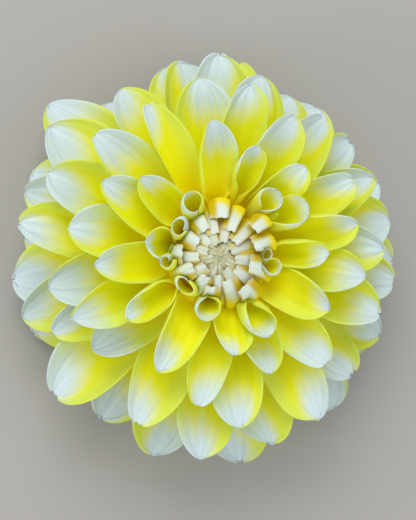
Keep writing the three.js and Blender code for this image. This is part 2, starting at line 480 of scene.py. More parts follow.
    def _section(self, across: Wire, roll: Wire) -> tuple[Wire, Wire]:
        """Where a point of the cross-section lies, for a half width of 1.

        Args:
            across: The point's place, -1 at one margin and 1 at the other.
            roll: The half angle that the section wraps.

        Returns:
            How far sideways and how far up off the midrib it lies. A flat panel, a fold and a wing
            follow each other on both sides, and the fold takes more of the bend on creased blades.
        """
        fold = self._own("fold")
        from_rib = abs(across)
        sideways: Wire | None = None
        upward: Wire | None = None
        heading: Any = 0.0
        for start, stop, share in zip(self.MEETINGS, self.MEETINGS[1:], self.BEND_SHARES):
            width = stop - start
            reached = ((from_rib - start) / width).clipped()
            turn = roll * (fold * (share - width) + width) * reached
            arc = Arc.step(heading, turn, reached * width)
            sideways = arc.on if sideways is None else sideways + arc.on
            upward = arc.up if upward is None else upward + arc.up
            heading = turn + heading
        return sideways * across.math("SIGN"), upward

    def _roll(self, spot: BladeSpot) -> Wire:
        """The half angle that the section wraps.

        Args:
            spot: The point.

        Returns:
            The blade's curl there, with the keel near its tip and the closed tube at its foot.
        """
        root, middle, tip = (self._own("roll_" + place) for place in ("root", "mid", "tip"))
        curl = (root + (middle - root) * (spot.along * 2.0).clipped()
                + (tip - middle) * (spot.along * 2.0 - 1.0).clipped())
        keel = self._own("keel") * spot.along.ramp(*self.KEEL_SPAN) * (1.0 - spot.width * self.KEEL_FADE)
        roll = curl * spot.width + keel
        tube = self._own("tube")
        opening = spot.along.ramp(tube - self.TUBE_SOFTNESS, tube + self.TUBE_SOFTNESS)
        shut = (1.0 - opening) * tube.ramp(0.0, self.SHORTEST_TUBE)
        return (roll + (self.MOST_ROLL - roll) * shut).at_most(self.MOST_ROLL)

    def _wound(self, spot: BladeSpot, roll: Wire) -> tuple[Wire, Wire]:
        """The section at its own size, with one margin inside the other and pressed oval.

        Args:
            spot: The point.
            roll: The half angle that the section wraps.

        Returns:
            How far sideways and how far up off the midrib it lies.
        """
        waist = self.WAISTS.angle(spot.along, spot.across, spot.chance).sin()
        waist = waist * spot.along.ramp(*self.RAGGED_SPAN)
        ragged = 1.0 + self._own("ripple") * self.RAGGED * spot.margin * waist
        half = self._own("half") * spot.width * ragged
        sideways, upward = self._section(spot.skewed, roll)
        wound = roll / math.pi
        swell = 1.0 + self._own("scroll") * spot.skewed * wound * wound
        centre = 1.0 / roll.at_least(self.LEAST_ROUND)
        oval = self._own("oval") * wound.clipped()
        upward = (centre + (upward - centre) * swell) * (1.0 - oval)
        return sideways * half * swell * (1.0 + oval), upward * half

    def _raised(self, spot: BladeSpot, upward: Wire, length: Wire) -> Wire:
        """Adds the ruffle, the pleats, the rib's groove and the hood to a section.

        Args:
            spot: The point.
            upward: How far up off the midrib it lies so far.
            length: Its blade's length.

        Returns:
            How far up off the midrib it lies in the end.
        """
        wave = self.RUFFLES.angle(spot.along, spot.across, spot.chance).sin()
        ruffle = self._own("ripple") * spot.margin * wave
        ruffle = ruffle * spot.along.ramp(*self.RUFFLE_SPAN) * spot.width
        count = spot.chance * self.MORE_PLEATS + self.PLEATS
        pleats = (spot.skewed * count + spot.chance * self.PLEAT_SHIFT).cos()
        pleats = self._own("pleat") * (pleats * spot.along.ramp(*self.PLEAT_SPAN))
        groove = (0.0 - spot.skewed * spot.skewed * self.GROOVE).math("EXPONENT") * spot.width
        tip = spot.along.ramp(*self.HOOD_SPAN)
        return (upward + ruffle + pleats * (spot.width + self.PLEAT_KEPT).at_most(1.0)
                - self._input("Crease") * groove + self._own("hood") * length * tip * tip)

    def _place(self) -> Wire:
        """The field that bends the flat grid of each copy into its blade, in the flower's frame."""
        along, across, chance = (self._own(name) for name in ("along", "across", "chance"))
        skewed = across + self._own("skew") * (1.0 - across * across)
        margin = across * across * abs(across)
        spot = BladeSpot(along, across, skewed, chance, self._width(along), margin)
        length = self._own("length")
        sideways, upward = self._wound(spot, self._roll(spot))
        upward = self._raised(spot, upward, length)
        sideways, upward = turned(sideways, upward, self._own("lean") + self._own("twist") * along)
        sideways = sideways + self._own("bend") * length * along * along
        rise = self._own("rise_root")
        turn = (self._own("rise_tip") - rise) * along
        teeth = self.TEETH.angle(along, skewed, chance).cos() * along ** self.TEETH_POWER
        rib = Arc.step(rise, turn, length * along * (1.0 + self._own("tooth") * teeth))
        slope = rise + turn
        reach = self._own("out") + rib.on - upward * slope.sin()
        height = self._own("height") + rib.up + upward * slope.cos()
        x, y = turned(reach, sideways, self._own("azimuth"))
        place = self.graph.vector(x, y, height.at_least(self._input("Lowest")))
        return self.graph.wire("ShaderNodeVectorMath", {"operation": "ADD"},
                               {0: place, 1: self._input("Axis")})

    def grow(self, name: str, blades: Sequence[Blade], form: BladeForm, axis: Vector,
             material: bpy.types.Material) -> bpy.types.Object:
        """Grows blades as sheets without thickness.

        Args:
            name: The name of the new object.
            blades: The blades, one seed each.
            form: What they share.
            axis: Where the flower's axis meets the surface.
            material: Their finish.

        Returns:
            The sheets, blade after blade, each a grid of form.rows by form.columns vertices.
        """
        seeds = bpy.data.meshes.new(name + "_seeds")
        seeds.from_pydata([(0.0, 0.0, 0.0)] * len(blades), [], [])
        for own in Blade.__dataclass_fields__:
            values = [getattr(blade, own) for blade in blades]
            seeds.attributes.new(own, "FLOAT", "POINT").data.foreach_set("value", values)
        grower = place_object(name + "_grower", seeds)
        nodes = grower.modifiers.new("Blades", "NODES")
        nodes.node_group = self.tree
        settings = {**asdict(form), "axis": axis, "material": material}
        for item in self.tree.interface.items_tree:
            if item.name.lower() in settings:
                nodes[item.identifier] = settings[item.name.lower()]
        sheets = plain_copy(grower, name)
        bpy.data.objects.remove(grower)
        bpy.data.meshes.remove(seeds)
        return sheets


WELD_REACH = 2e-6


def thicken(sheets: bpy.types.Object, wall: float) -> bpy.types.Object:
    """Gives sheets their thickness, so that each blade is a closed shell.

    Args:
        sheets: Blades as BladeTree.grow makes them; they are used up.
        wall: The thickness.

    Returns:
        The piece, a plain mesh of the same name.
    """
    weld = sheets.modifiers.new("Tips", "WELD")
    weld.merge_threshold = WELD_REACH
    shell = sheets.modifiers.new("Wall", "SOLIDIFY")
    shell.thickness = wall
    shell.offset = 0.0
    shell.use_rim = True
    name = sheets.name
    sheets.name = name + "_sheets"
    piece = plain_copy(sheets, name)
    bpy.data.objects.remove(sheets)
    return piece


def place_object(name: str, data: bpy.types.ID) -> bpy.types.Object:
    """A new object in the scene, at the origin."""
    thing = bpy.data.objects.new(name, data)
    bpy.context.scene.collection.objects.link(thing)
    return thing


def plain_copy(source: bpy.types.Object, name: str) -> bpy.types.Object:
    """The evaluated shape of an object as a new plain mesh object at the origin."""
    bpy.context.view_layer.update()
    evaluated = source.evaluated_get(bpy.context.evaluated_depsgraph_get())
    mesh = bpy.data.meshes.new_from_object(evaluated)
    mesh.name = name
    return place_object(name, mesh)


def settle(piece: bpy.types.Object, slot: str, *nodes: str) -> None:
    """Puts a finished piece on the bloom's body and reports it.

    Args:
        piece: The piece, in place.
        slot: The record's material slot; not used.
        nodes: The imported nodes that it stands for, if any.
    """
    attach(piece, BODY)
    if nodes:
        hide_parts(*nodes)
    LOG.info("%s: %d faces", piece.name, len(piece.data.polygons))


# ---------------------------------------------------------------- open florets
@dataclass(frozen=True)
class Stage:
    """What an open floret is like at some rank on the spiral.

    Length and half width in metres, rises at the root and the tip in degrees, and the half angles
    that it wraps at the root, half way out and at the tip. The rest are shares of the blade.
    """

    rank: float
    length: float
    half: float
    rise: tuple[float, float]
    roll: tuple[float, float, float]
    widest: float
    blunt: float
    tube: float
    hood: float
    fold: float
    white_from: float

    def towards(self, other: "Stage", t: float) -> "Stage":
        """The stage a share t of the way to another one."""
        return Stage(*(blend(mine, theirs, t) for mine, theirs in zip(astuple(self), astuple(other))))


def blend(a: Any, b: Any, t: float) -> Any:
    """What lies a share t of the way from a to b, item by item where they are tuples."""
    return tuple(lerp(*pair, t) for pair in zip(a, b)) if isinstance(a, tuple) else lerp(a, b, t)


STAGES = (
    Stage(1, 0.028, 0.0086, (56, 80), (9, 3.4, 3.3), 0.88, 0.50, 0.86, 0.0, 0.35, 0.99),
    Stage(5, 0.030, 0.0092, (56, 70), (9, 3.4, 3.1), 0.86, 0.50, 0.84, 0.0, 0.35, 0.97),
    Stage(9, 0.032, 0.0100, (58, 60), (9, 3.0, 2.7), 0.83, 0.52, 0.80, 0.03, 0.4, 0.95),
    Stage(12, 0.036, 0.0106, (62, 46), (9, 2.4, 2.1), 0.76, 0.58, 0.70, 0.05, 0.5, 0.93),
    Stage(16, 0.039, 0.0102, (70, 20), (8, 1.9, 1.6), 0.66, 0.68, 0.50, 0.06, 0.7, 0.91),
    Stage(22, 0.045, 0.0106, (70, 2), (7, 1.55, 1.35), 0.66, 0.68, 0.37, 0.06, 0.9, 0.88),
    Stage(34, 0.051, 0.0109, (56, -8), (5.5, 1.25, 1.15), 0.68, 0.68, 0.34, 0.05, 1.0, 0.865),
    Stage(49, 0.0545, 0.0112, (38, -14), (4.5, 1.0, 0.9), 0.69, 0.66, 0.26, 0.04, 1.0, 0.85),
    Stage(64, 0.056, 0.0116, (22, -22), (3.8, 0.8, 0.6), 0.70, 0.64, 0.18, 0.03, 1.0, 0.85),
    Stage(74, 0.057, 0.0120, (8, -30), (3.2, 0.6, 0.4), 0.70, 0.64, 0.12, 0.02, 0.9, 0.85),
    Stage(94, 0.050, 0.0110, (-12, -40), (2.7, 0.4, 0.3), 0.70, 0.62, 0.1, 0.0, 0.8, 0.87),
)

# Where the tips of the florets in view show, by rank: pixels across and down in a frame of 416 by 520.
TIP_PIXELS = {
    1: (180, 291), 2: (272, 255), 3: (172, 224), 5: (277, 190), 6: (160, 263), 7: (281, 270), 8: (187, 193),
    9: (205, 321), 10: (307, 203), 11: (146, 240), 12: (270, 336), 13: (258, 146), 14: (128, 320),
    15: (329, 252), 16: (142, 176), 17: (234, 355), 18: (306, 168), 19: (95, 264), 20: (330, 307),
    21: (209, 121), 22: (158, 371), 23: (357, 222), 24: (102, 183), 25: (270, 374), 26: (290, 114),
    27: (70, 315), 28: (365, 276), 29: (148, 105), 30: (198, 405), 31: (353, 183), 32: (68, 230),
    33: (327, 362), 34: (250, 85), 35: (93, 349), 36: (383, 250), 37: (94, 137), 38: (239, 428),
    39: (323, 119), 40: (49, 286), 41: (378, 315), 42: (199, 78), 43: (138, 423), 44: (372, 178),
    45: (50, 172), 46: (320, 418), 48: (52, 330), 50: (120, 90), 51: (200, 459), 52: (348, 141),
    53: (20, 225), 54: (350, 375), 55: (220, 55), 56: (56, 395), 57: (389, 220), 58: (50, 128),
    59: (275, 443), 60: (292, 98), 61: (22, 315), 62: (378, 335), 63: (178, 62), 64: (151, 454),
    65: (377, 184), 66: (26, 190), 67: (335, 405), 71: (49, 106), 72: (240, 460), 73: (320, 110),
    74: (14, 280),
}

# The one young floret that stays hidden among the straps of the head, and the share of its length.
HIDDEN_RANK = 4
HIDDEN_REACH = 0.6

# Florets that are slimmer or stouter than the rule: rank, share of the width.
GIRTHS = {1: 1.1, 2: 0.7, 3: 1.05, 4: 0.6, 5: 1.1, 6: 0.7, 7: 0.75, 8: 1.1, 9: 0.92, 10: 1.25, 11: 0.95,
          12: 1.05, 29: 0.76, 56: 1.22}


def azimuth_of(rank: int) -> float:
    """Where a rank of the spiral stands, in degrees from +X."""
    return FIRST_AZIMUTH + GOLDEN_ANGLE * (rank - 1)


@dataclass(frozen=True)
class Viewpoint:
    """Where the bloom is seen from: a camera that looks down it, a few degrees off its axis."""

    distance: float = 0.480
    tilt_x: float = 9.1
    tilt_y: float = 1.0
    lens: float = 100.0
    sensor: float = 36.0
    image: tuple[int, int] = (416, 520)
    axis_pixel: tuple[float, float] = (214.5, 251.0)
    look_height: float = 0.025

    def towards(self) -> Vector:
        """The direction from the bloom to the camera."""
        aside = Vector((-math.sin(math.radians(self.tilt_x)), -math.sin(math.radians(self.tilt_y)), 0))
        aside.z = math.sqrt(1 - aside.length_squared)
        return aside

    def pixel(self, place: Vector) -> tuple[float, float]:
        """The pixel that shows a place.

        Args:
            place: The place, from the point where the flower's axis meets the surface.

        Returns:
            The pixels across and down, in a frame of the image's size.
        """
        back = self.towards()
        right, up = facing_axes(back)
        seen = place - Vector((0.0, 0.0, self.look_height)) - back * self.distance
        scale = self.lens / self.sensor * self.image[1] / -seen.dot(back)
        return self.axis_pixel[0] + scale * seen.dot(right), self.axis_pixel[1] - scale * seen.dot(up)


def facing_axes(back: Vector) -> tuple[Vector, Vector]:
    """The axes to the right and up of a thing that faces away from this direction, +Y upwards."""
    right = Vector((0, 1, 0)).cross(back).normalized()
    return right, back.cross(right)


@dataclass(frozen=True)
class Stray:
    """How a floret departs from the rule: degrees further round, and the share of its length."""

    turn: float = 0.0
    reach: float = 1.0


@dataclass(frozen=True)
class Nest:
    """Beds blades under the younger ones that lie over them, so that no margin shows through.

    Each blade looks at the ones this many places younger, for open sides above it within reach.
    """

    neighbours: tuple[int, ...] = (3, 5, 8, 13, 21)
    clearance: float = 0.0007
    reach: float = 0.014
    facing: float = 0.12
    passes: int = 2

    def bed(self, rounds: Sequence[bpy.types.Object], form: BladeForm) -> list[BVHTree]:
        """Lowers the florets where they would stand through a younger one.

        Args:
            rounds: Their sheets from the youngest to the oldest, as BladeTree.grow makes them.
            form: The florets' form, for the size of their grids.

        Returns:
            The surface of each floret, in place.
        """
        bedded: list[BVHTree] = []
        for sheets in rounds:
            florets = self._grids(sheets, form)
            for floret in florets:
                younger = [bedded[-gap] for gap in self.neighbours if gap <= len(bedded)]
                for _ in range(self.passes):
                    self._lower(floret, younger, form)
                bedded.append(self._surface(floret, form))
            sheets.data.vertices.foreach_set("co", florets.ravel())
        return bedded

    def tuck(self, sheets: bpy.types.Object, form: BladeForm, over: Sequence[BVHTree]) -> None:
        """Lowers every blade of a piece where it would stand inside any of some florets."""
        blades = self._grids(sheets, form)
        for blade in blades:
            self._lower(blade, over, form)
        sheets.data.vertices.foreach_set("co", blades.ravel())

    def _grids(self, sheets: bpy.types.Object, form: BladeForm) -> np.ndarray:
        """The places of the vertices, blade by blade."""
        flat = np.empty(len(sheets.data.vertices) * 3)
        sheets.data.vertices.foreach_get("co", flat)
        return flat.reshape(-1, form.rows * form.columns, 3)

    def _surface(self, floret: np.ndarray, form: BladeForm) -> BVHTree:
        """One blade's grid as a surface that rays can meet."""
        wide = form.columns
        corners = [row * wide + column for row in range(form.rows - 1) for column in range(wide - 1)]
        return BVHTree.FromPolygons([Vector(spot) for spot in floret],
                                    [(k, k + wide, k + wide + 1, k + 1) for k in corners])

    def _lower(self, blade: np.ndarray, younger: Sequence[BVHTree], form: BladeForm) -> None:
        """Lowers what of a blade stands over the open side of other ones.

        Args:
            blade: The places of its vertices, which are changed.
            younger: The surfaces that it has to pass under.
            form: Its form, for the size of its grid.
        """
        down = Vector((0.0, 0.0, -1.0))
        for surface in younger:
            drop = np.zeros(len(blade))
            for i, spot in enumerate(blade):
                hit, normal, _, distance = surface.ray_cast(Vector(spot), down, self.reach)
                if hit is not None and normal.z > self.facing:
                    drop[i] = distance + self.clearance
            if drop.any():
                drop = np.maximum(drop, self._even(drop.reshape(form.rows, form.columns)).ravel())
                blade[:, 2] = np.maximum(blade[:, 2] - drop, form.lowest)

    def _even(self, drop: np.ndarray) -> np.ndarray:
        """A drop spread to the points next to it and then evened out."""
        for gather in (np.max, np.mean):
            rows, columns = drop.shape
            wide = np.pad(drop, 1, mode="edge")
            drop = gather([wide[a:a + rows, b:b + columns] for a in range(3) for b in range(3)], axis=0)
        return drop


@dataclass(frozen=True)
class Variety:
    """How much the open florets differ: shares of the rule, and of their own size from skew on."""

    girth: float = 0.09
    roll: float = 0.18
    hood: float = 0.5
    keel: float = 0.4
    pleat: float = 0.7
    tooth: float = 0.8
    skew: float = 0.28
    bend: float = 0.05
    oval: float = 0.1
    tip: float = 0.26
    white_from: float = 0.04


@dataclass(frozen=True)
class RayFlorets:
    """The open florets, in the rounds that they are kept as. Angles are in degrees.

    root_out and root_height hold for the youngest and the oldest floret, and lopsided is how much
    longer the florets are towards +X and +Y. A pace says how many times faster than age something
    sets in. Of the leaning ranks, those that stray inwards or outwards lean rather than stretch.
    """

    root_out: tuple[float, float] = (0.0070, 0.0112)
    root_height: tuple[float, float] = (0.0249, 0.0194)
    root_fall: float = 1.3
    lopsided: tuple[float, float] = (-0.045, -0.02)
    crowding: int = 13
    leaning_ranks: float = 28.0
    leaning: float = 0.6
    slump: float = 70.0
    lean: float = 16.0
    lean_pace: float = 6.0
    twist: float = 10.0
    keel: float = 1.0
    pleat: float = 0.00022
    tooth: float = 0.007
    tip_pace: float = 3.0
    scroll: float = 0.17
    oval: float = 0.2
    oval_pace: float = 8.0
    ripple: float = 0.0006
    ripple_pace: float = 0.0016
    most_ripple: float = 0.00096
    least_yellow: float = 0.5
    variety: Variety = Variety()
    viewpoint: Viewpoint = Viewpoint()
    fitting_rounds: int = 24
    small_turn: float = 0.5
    small_reach: float = 0.01
    most_turn: float = 8.0
    most_reach: float = 0.08
    rounds: tuple[tuple[str, int, int], ...] = (
        ("young_florets", 1, 30), ("grown_florets", 31, 62), ("oldest_florets", 63, OPEN_FLORETS))
    form: BladeForm = BladeForm(claw=0.36, spread=0.2, closing=2.2, crease=0.00012, wall=0.00026)

    def stage(self, rank: int) -> Stage:
        """The stage of a rank, blended between its neighbours in STAGES."""
        after = next(i for i, stage in enumerate(STAGES) if stage.rank >= rank and i > 0)
        before = STAGES[after - 1]
        return before.towards(STAGES[after], (rank - before.rank) / (STAGES[after].rank - before.rank))

    def stray(self, rank: int) -> Stray:
        """Fits how a floret departs from the rule, so that its tip shows where TIP_PIXELS has it.

        Args:
            rank: Its place on the spiral.

        Returns:
            The turn and reach; a floret without a pixel follows the rule.
        """
        if rank == HIDDEN_RANK:
            return Stray(reach=HIDDEN_REACH)
        stray = Stray()
        if rank not in TIP_PIXELS:
            return stray
        for _ in range(self.fitting_rounds):
            spot = self.tip_pixel(rank, stray)
            turned_on = self.tip_pixel(rank, Stray(stray.turn + self.small_turn, stray.reach))
            drawn_out = self.tip_pixel(rank, Stray(stray.turn, stray.reach + self.small_reach))
            per_turn = (turned_on - spot) / self.small_turn
            per_reach = (drawn_out - spot) / self.small_reach
            miss = Vector(TIP_PIXELS[rank]) - spot
            area = per_turn.cross(per_reach)
            turn = clamp(miss.cross(per_reach) / area, self.most_turn)
            reach = clamp(per_turn.cross(miss) / area, self.most_reach)
            stray = Stray(stray.turn + turn, stray.reach + reach)
        return stray

    def tip_pixel(self, rank: int, stray: Stray) -> Vector:
        """Where a floret's tip shows in the frame when it strays this much."""
        return Vector(self.viewpoint.pixel(self.floret(rank, stray).tip_place()))

    def floret(self, rank: int, stray: Stray) -> Blade:
        """The blade of one rank.

        Args:
            rank: Its place on the spiral.
            stray: How it departs from the rule.

        Returns:
            The blade.
        """
        stage, variety = self.stage(rank), self.variety
        azimuth = math.radians(azimuth_of(rank) + stray.turn)
        age = (rank - 1) / (OPEN_FLORETS - 1)
        side = 1 + self.lopsided[0] * math.cos(azimuth) + self.lopsided[1] * math.sin(azimuth)
        youth = max(0.0, 1 - rank / self.leaning_ranks)
        slump = self.slump * youth * (stray.reach - 1)
        stretch = stray.reach ** (1 - self.leaning * youth)
        loose = varied(rank, Trait.ROLL, variety.roll)
        yellow = lerp(self.least_yellow, 1.0, abs(scatter(rank, Trait.YELLOW_SHARE)))
        blunted = variety.tip * scatter(rank, Trait.TIP)
        return Blade(
            azimuth=azimuth,
            out=lerp(*self.root_out, age),
            height=lerp(*self.root_height, age ** self.root_fall),
            length=stage.length * stretch * side,
            half=stage.half * GIRTHS.get(rank, varied(rank, Trait.GIRTH, variety.girth)),
            rise_root=math.radians(stage.rise[0] - slump),
            rise_tip=math.radians(stage.rise[1] - slump),
            roll_root=stage.roll[0], roll_mid=stage.roll[1] * loose, roll_tip=stage.roll[2] * loose,
            widest=stage.widest, blunt=stage.blunt, tube=stage.tube, fold=stage.fold,
            tip=stage.fold * max(0.0, blunted * risen(age, self.tip_pace)),
            tooth=self.tooth * stage.fold * varied(rank, Trait.TOOTH, variety.tooth),
            lean=math.radians(self.lean) * scatter(rank, Trait.LEAN) * risen(age, self.lean_pace),
            twist=math.radians(self.twist) * scatter(rank, Trait.TWIST),
            bend=variety.bend * scatter(rank, Trait.BEND),
            skew=variety.skew * scatter(rank, Trait.SKEW),
            hood=stage.hood * varied(rank, Trait.HOOD, variety.hood),
            ripple=min(self.most_ripple, self.ripple + age * self.ripple_pace),
            pleat=self.pleat * stage.fold * varied(rank, Trait.PLEAT, variety.pleat),
            keel=self.keel * stage.fold * varied(rank, Trait.KEEL, variety.keel),
            scroll=math.copysign(self.scroll, scatter(rank, Trait.SCROLL_SIDE)),
            oval=self.oval * (1 - risen(age, self.oval_pace)) + variety.oval * scatter(rank, Trait.OVAL),
            age=age,
            white_from=stage.white_from + variety.white_from * scatter(rank, Trait.WHITE_FROM),
            yellow_side=math.copysign(yellow, scatter(rank, Trait.YELLOW_SIDE)),
        )

    def build(self, tree: BladeTree, axis: Vector, material: bpy.types.Material) -> list[BVHTree]:
        """Grows the florets and settles each round of them.

        Args:
            tree: The tree that grows blades.
            axis: Where the flower's axis meets the surface.
            material: The petals' finish.

        Returns:
            The surfaces of the young florets that crowd the closed head.
        """
        sheets = []
        for name, first, last in self.rounds:
            florets = [self.floret(rank, self.stray(rank)) for rank in range(first, last + 1)]
            sheets.append(tree.grow(name, florets, self.form, axis, material))
        surfaces = Nest().bed(sheets, self.form)
        for sheet in sheets:
            settle(thicken(sheet, self.form.wall), "petal", "ray_florets")
        return [surface for rank, surface in enumerate(surfaces[:self.crowding], start=1)
                if rank != HIDDEN_RANK]


# ---------------------------------------------------------------- unopened florets
@dataclass(frozen=True)
class ClosedFlorets:
    """The unopened florets: blunt straps that rise from the dome's side and fold in over its top.

    Angles are in degrees. rise holds for a strap's root and tip, tilt and aside for +X and +Y, and
    any other pair for the outermost strap and the innermost one; the tips meet from the meeting age
    on. What ends in _scatter is how much a strap may differ either way, and proud gives the straps
    that stand out of the others, with the share of proud_out and proud_tip that they take.
    """

    radius: float = 0.0184
    filled: float = 0.95
    tip_out: tuple[float, float] = (0.0120, 0.0004)
    tip_scatter: float = 0.0006
    meeting_age: float = 0.72
    meeting_power: float = 0.85
    half: tuple[float, float] = (0.0049, 0.0034)
    half_scatter: float = 0.14
    rise: tuple[float, float] = (72.0, 168.0)
    rise_scatter: float = math.degrees(0.05)
    roll_root: float = 0.9
    roll_mid: float = 0.95
    roll_tip: tuple[float, float] = (0.6, 0.8)
    tip: tuple[float, float] = (0.66, 0.34)
    widest: float = 0.35
    blunt: float = 1.0
    tooth: float = 0.02
    turn_scatter: float = 3.0
    top: tuple[float, float] = (0.0522, 0.0532)
    tilt: tuple[float, float] = (0.0, -7.0)
    aside: tuple[float, float] = (0.0, -0.0022)
    pivot: float = 0.030
    lean: float = 13.0
    lean_scatter: float = 8.0
    proud: dict[int, float] = field(default_factory=lambda: {3: 0.7, 11: 0.75})
    proud_out: float = 0.0024
    proud_tip: float = 0.0042
    form: BladeForm = BladeForm(rows=24, columns=17, claw=0.9, spread=0.0, closing=1.3)

    def floret(self, order: int) -> Blade:
        """The strap that stands this many places inside the youngest open floret.

        Args:
            order: The places.

        Returns:
            The strap, an even bend from the dome's side to its tip.
        """
        age = order / CLOSED_FLORETS
        start, stop = (math.radians(rise) for rise in self.rise)
        met = min(1.0, age / self.meeting_age) ** self.meeting_power
        stand = self.proud.get(order, 0.0)
        out = self.radius * math.sqrt(1 - self.filled * age) + self.proud_out * stand
        tip_out = (lerp(*self.tip_out, met) + self.tip_scatter * scatter(order, Trait.STRAP_TIP)
                   + self.proud_tip * stand)
        radius = (out - tip_out) / (math.sin(start) - math.sin(stop))
        turn = self.turn_scatter * scatter(order, Trait.STRAP_TURN)
        return Blade(
            azimuth=math.radians(azimuth_of(-order) + turn),
            out=out,
            height=lerp(*self.top, age) - radius * (math.cos(start) - math.cos(stop)),
            length=radius * (stop - start),
            half=lerp(*self.half, age) * varied(order, Trait.GIRTH, self.half_scatter),
            rise_root=start,
            rise_tip=stop + math.radians(self.rise_scatter) * scatter(order, Trait.STRAP_RISE),
            roll_root=self.roll_root, roll_mid=self.roll_mid, roll_tip=lerp(*self.roll_tip, age),
            widest=self.widest, blunt=self.blunt, tip=lerp(*self.tip, met), tooth=self.tooth,
            lean=math.radians(self.lean + self.lean_scatter * scatter(order, Trait.STRAP_LEAN)),
            age=age,
        )

    def nod(self, axis: Vector) -> Matrix:
        """The turn that the whole head takes about a point low on the flower's axis."""
        low = axis + Vector((0.0, 0.0, self.pivot))
        turn = Euler((math.radians(self.tilt[0]), math.radians(self.tilt[1]), 0.0)).to_matrix().to_4x4()
        return Matrix.Translation(low + Vector((*self.aside, 0.0))) @ turn @ Matrix.Translation(-low)

    def build(self, tree: BladeTree, axis: Vector, material: bpy.types.Material,
              crowd: Sequence[BVHTree]) -> None:
        """Grows the straps and settles them between the young florets.

        Args:
            tree: The tree that grows blades.
            axis: Where the flower's axis meets the surface.
            material: The straps' finish.
            crowd: The surfaces of the young florets around the head.
        """
        straps = [self.floret(order) for order in range(CLOSED_FLORETS)]
        sheets = tree.grow("closed_head", straps, self.form, axis, material)
        sheets.data.transform(self.nod(axis))
        Nest().tuck(sheets, self.form, crowd)
        settle(thicken(sheets, self.form.wall), "closed_petal", "closed_florets")


# ---------------------------------------------------------------- bracts
@dataclass(frozen=True)
class BractRing:
    """A ring of bracts on their disc, bent back towards the stalk. Angles are in degrees."""

    name: str
    node: str
    slot: str
    count: int
    root: float
    length: float
    half: float
    rise: tuple[float, float]
    roll: float
    first: float
    wall: float
    widest: float = 0.45
    blunt: float = 0.8
    ripple: float = 0.0003
    half_disc: float = 0.00085
    turn_scatter: float = 4.0
    length_scatter: float = 0.06
    twist_scatter: float = math.degrees(0.1)

    def bract(self, i: int, height: float) -> Blade:
        """The bract at this place of the ring, with its root at a height."""
        azimuth = self.first + 360 * i / self.count + self.turn_scatter * scatter(i, Trait.BRACT_TURN)
        return Blade(
            azimuth=math.radians(azimuth), out=self.root, height=height,
            length=self.length * varied(i, Trait.BRACT_LENGTH, self.length_scatter),
            half=self.half, rise_root=math.radians(self.rise[0]), rise_tip=math.radians(self.rise[1]),
            roll_root=-self.roll, roll_mid=-self.roll, roll_tip=-self.roll,
            widest=self.widest, blunt=self.blunt, ripple=self.ripple,
            twist=math.radians(self.twist_scatter) * scatter(i, Trait.BRACT_TWIST))

    def build(self, tree: BladeTree, axis: Vector, material: bpy.types.Material) -> None:
        """Grows the ring on its node's disc and settles it; takes what RayFlorets.build takes."""
        _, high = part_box(self.node)
        bracts = [self.bract(i, high.z - self.half_disc) for i in range(self.count)]
        form = BladeForm(rows=24, columns=15, claw=0.7, crease=-0.0002, wall=self.wall)
        sheets = tree.grow(self.name, bracts, form, axis, material)
        settle(thicken(sheets, self.wall), self.slot, self.node)


INNER_BRACTS = BractRing("pale_bracts", "inner_bracts", "pale_bract", 8, 0.0075, 0.017, 0.0050,
                         (-14, -44), 0.5, 12, 0.0004)
OUTER_BRACTS = BractRing("green_bracts", "outer_bracts", "green_bract", 6, 0.0064, 0.014, 0.0034,
                         (-24, -78), 0.45, 30, 0.0011)


# ---------------------------------------------------------------- turned pieces
@dataclass(frozen=True)
class Turned:
    """A solid of revolution about the flower's axis, with low ribs round it."""

    name: str
    slot: str
    profile: tuple[tuple[float, float], ...]
    sides: int = 72
    ribs: int = 0
    rib_depth: float = 0.0

    def build(self, axis: Vector, material: bpy.types.Material, *nodes: str,
              turn: Matrix | None = None) -> None:
        """Lofts the profile round the axis and settles the piece.

        Args:
            axis: Where the flower's axis meets the surface.
            material: The finish.
            nodes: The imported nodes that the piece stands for.
            turn: A turn that the shape takes in place, if any.
        """
        middle = self.profile[1:-1]
        verts = [(axis.x, axis.y, self.profile[0][1])]
        for radius, height in middle:
            for i in range(self.sides):
                angle = math.tau * i / self.sides
                ribbed = radius - self.rib_depth * (1 + math.cos(self.ribs * angle)) / 2
                x, y = axis.x + ribbed * math.cos(angle), axis.y + ribbed * math.sin(angle)
                verts.append((x, y, height))
        verts.append((axis.x, axis.y, self.profile[-1][1]))
        last = len(verts) - 1
        faces: list[tuple[int, ...]] = []
        for i in range(self.sides):
            j = (i + 1) % self.sides
            faces.append((0, 1 + j, 1 + i))
            for k in range(len(middle) - 1):
                low, high = 1 + k * self.sides, 1 + (k + 1) * self.sides
                faces.append((low + i, low + j, high + j, high + i))
            top = 1 + (len(middle) - 1) * self.sides
            faces.append((top + i, top + j, last))
        mesh = bpy.data.meshes.new(self.name)
        mesh.from_pydata(verts, [], faces)
        mesh.shade_smooth()
        mesh.materials.append(material)
        if turn:
            mesh.transform(turn)
        settle(place_object(self.name, mesh), self.slot, *nodes)


